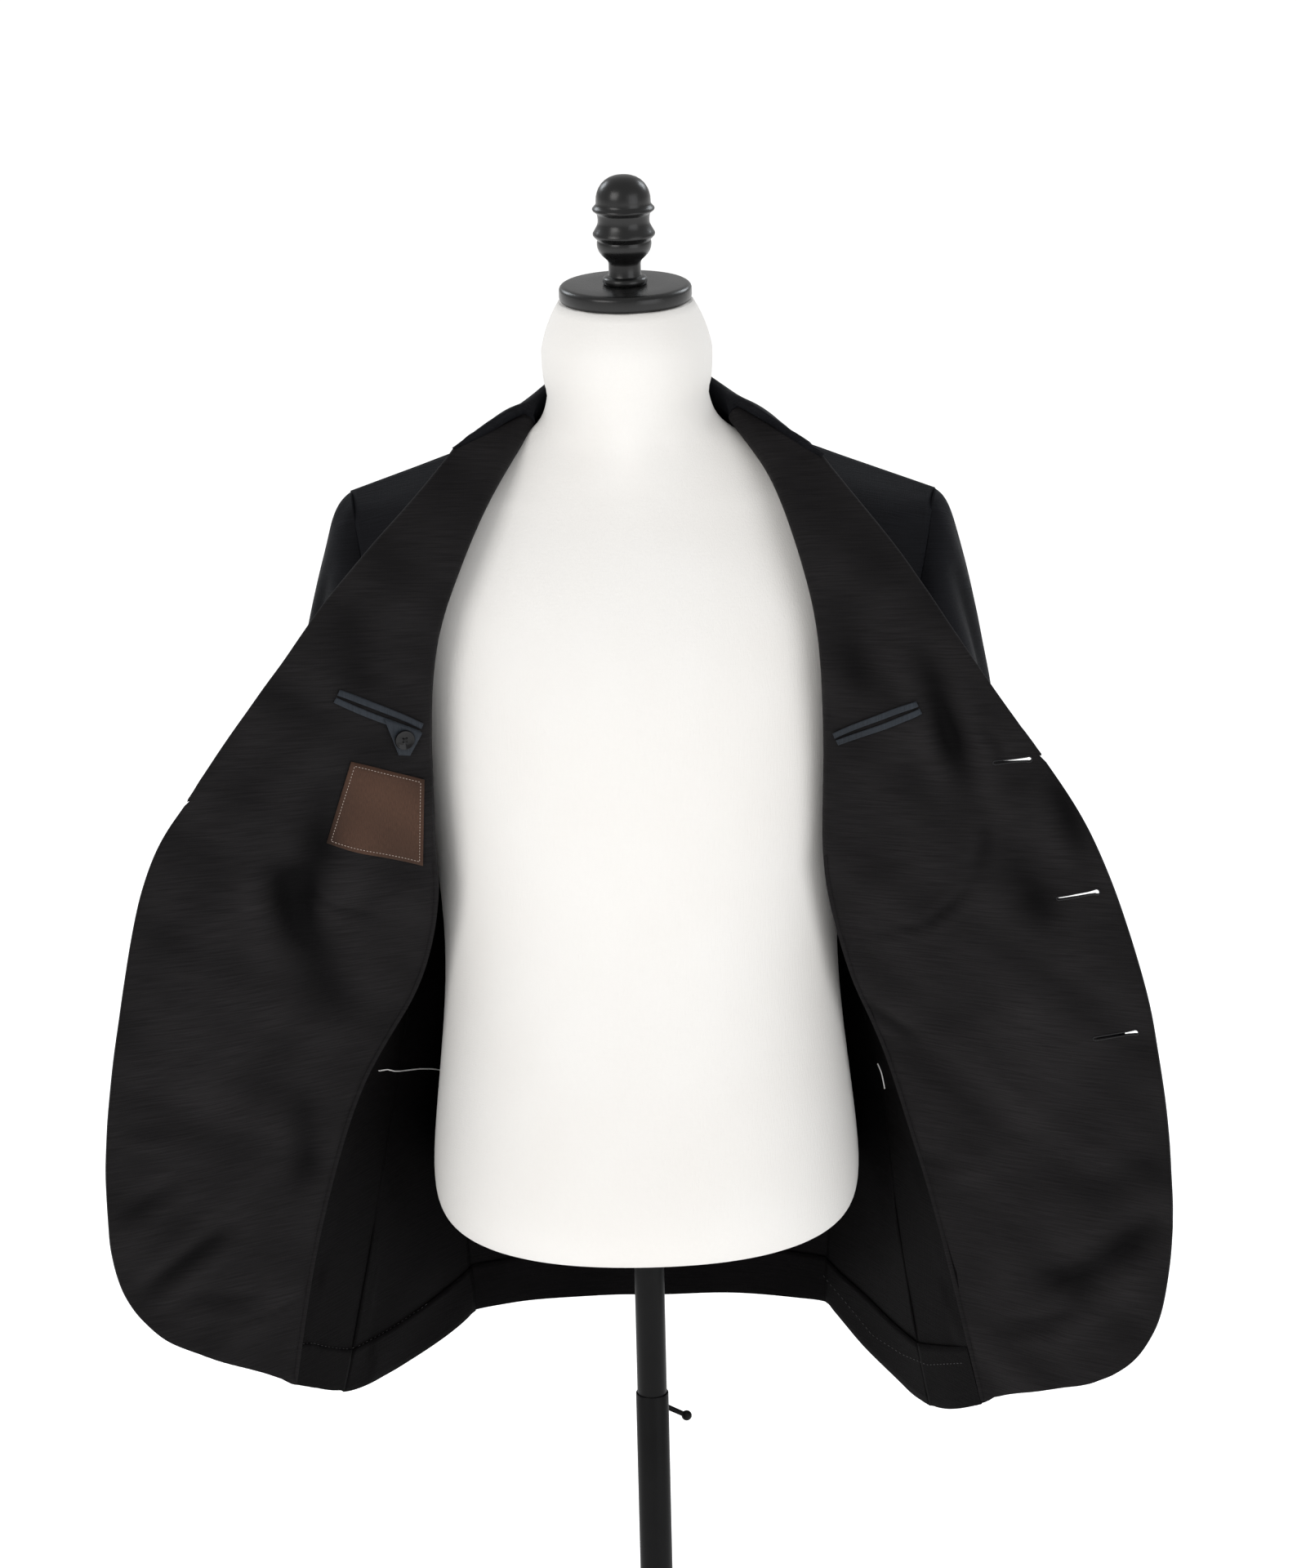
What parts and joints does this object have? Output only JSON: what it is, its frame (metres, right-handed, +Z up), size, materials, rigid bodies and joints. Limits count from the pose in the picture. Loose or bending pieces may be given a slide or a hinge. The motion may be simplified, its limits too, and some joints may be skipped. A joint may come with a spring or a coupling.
{
  "type": "silk blazer on a limbless dress form with a pole stand",
  "caption": "Black silk single-breasted blazer hanging wide open on a white limbless dress form with a turned finial, held on a height-adjustable black pole with a round base.",
  "frame": {"origin": "centre of the base's underside, on the floor, on the pole's axis", "axes": "+X to the right of a front view (the wearer's left), +Y to the back, +Z up"},
  "size_m": [0.7955, 0.34, 1.4809],
  "materials": {
    "cloth_black": "satin",
    "slate_trim": "satin",
    "label_brown": "matte",
    "button_black": "gloss",
    "form_white": "matte",
    "cap_black": "satin",
    "stand_black": "satin"
  },
  "bodies": {
    "stand": {"base": "stand_black", "lower_tube": "stand_black"},
    "clamp": {"clamp_screw": "stand_black"},
    "mast": {"pole": "stand_black"},
    "form": {"front_right_worn": "cloth_black", "facing_right_worn": "cloth_black", "hem_front_right_worn": "cloth_black", "side_right_worn": "cloth_black", "hem_side_right_worn": "cloth_black", "back_right_worn": "cloth_black", "hem_back_right_worn": "cloth_black", "top_sleeve_right_worn": "cloth_black", "under_sleeve_right_worn": "cloth_black", "hip_flap_right_worn": "cloth_black", "front_left_worn": "cloth_black", "facing_left_worn": "cloth_black", "hem_front_left_worn": "cloth_black", "side_left_worn": "cloth_black", "hem_side_left_worn": "cloth_black", "back_left_worn": "cloth_black", "hem_back_left_worn": "cloth_black", "top_sleeve_left_worn": "cloth_black", "under_sleeve_left_worn": "cloth_black", "hip_flap_left_worn": "cloth_black", "collar": "cloth_black", "breast_welt": "cloth_black", "inner_jet_right_worn_upper": "slate_trim", "inner_jet_right_worn_lower": "slate_trim", "inner_jet_left_worn_upper": "slate_trim", "inner_jet_left_worn_lower": "slate_trim", "button_tab": "slate_trim", "label": "label_brown", "front_button_1": "button_black", "front_button_2": "button_black", "front_button_3": "button_black", "inner_button": "button_black", "cuff_button_1_right_worn": "button_black", "cuff_button_2_right_worn": "button_black", "cuff_button_3_right_worn": "button_black", "cuff_button_4_right_worn": "button_black", "cuff_button_1_left_worn": "button_black", "cuff_button_2_left_worn": "button_black", "cuff_button_3_left_worn": "button_black", "cuff_button_4_left_worn": "button_black", "torso": "form_white", "neck_cap": "cap_black", "finial": "cap_black"}
  },
  "joints": [
    {"name": "clamp_turn", "type": "hinge", "parent": "stand", "child": "clamp", "pos_m": [0, 0.019, 0.4935], "axis": [0, 1, 0], "continuous": true},
    {"name": "height_slide", "type": "slide", "parent": "stand", "child": "mast", "axis": [0, 0, 1], "range_m": [-0.1, 0.25]},
    {"name": "form_turn", "type": "hinge", "parent": "mast", "child": "form", "pos_m": [0, 0, 0.775], "axis": [0, 0, 1], "continuous": true}
  ]
}
